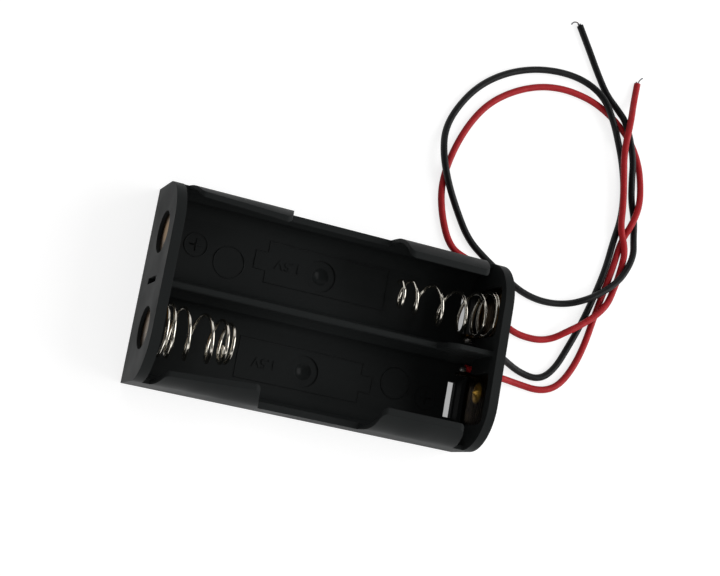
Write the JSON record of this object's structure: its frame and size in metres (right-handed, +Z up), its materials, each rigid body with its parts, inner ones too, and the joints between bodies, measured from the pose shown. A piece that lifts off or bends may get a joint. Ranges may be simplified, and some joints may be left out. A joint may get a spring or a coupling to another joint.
{
  "type": "cylindrical cell holder",
  "caption": "Open moulded tray that holds AA cells side by side between sprung and domed contacts, with a black and a red lead.",
  "frame": {"origin": "centre of the tray's base, midway along its length and midway between its bays", "axes": "+Z up from the table, +X towards the end wall that the leads leave, +Y towards the bay whose spring is at that end"},
  "size_m": [0.0873, 0.0811, 0.015],
  "materials": {
    "black_plastic": "moulded black polypropylene, satin",
    "contact_brass": "pressed sheet, lightly tarnished",
    "spring_nickel": "bright nickel-plated steel wire",
    "solder": "bright solder bead",
    "black_insulation": "soft PVC, satin",
    "red_insulation": "soft PVC, satin",
    "copper_strand": "tinned copper strand"
  },
  "bodies": {
    "tray": {"holder_body": "black_plastic", "bridge_contact": "contact_brass", "positive_contact": "contact_brass", "negative_contact": "contact_brass", "positive_solder": "solder", "negative_solder": "solder", "black_lead": "black_insulation", "red_lead": "red_insulation", "black_lead_strand": "copper_strand", "red_lead_strand": "copper_strand"},
    "near_spring_tip": {"left_spring": "spring_nickel"},
    "far_spring_tip": {"right_spring": "spring_nickel"}
  },
  "joints": [
    {"name": "left_spring_travel", "type": "slide", "parent": "tray", "child": "near_spring_tip", "axis": [-1, 0, 0], "range_m": [0, 0.0086], "stiffness_N_per_m": 500, "deforming": ["left_spring"]},
    {"name": "right_spring_travel", "type": "slide", "parent": "tray", "child": "far_spring_tip", "axis": [1, 0, 0], "range_m": [0, 0.0127], "stiffness_N_per_m": 400, "deforming": ["right_spring"]}
  ]
}
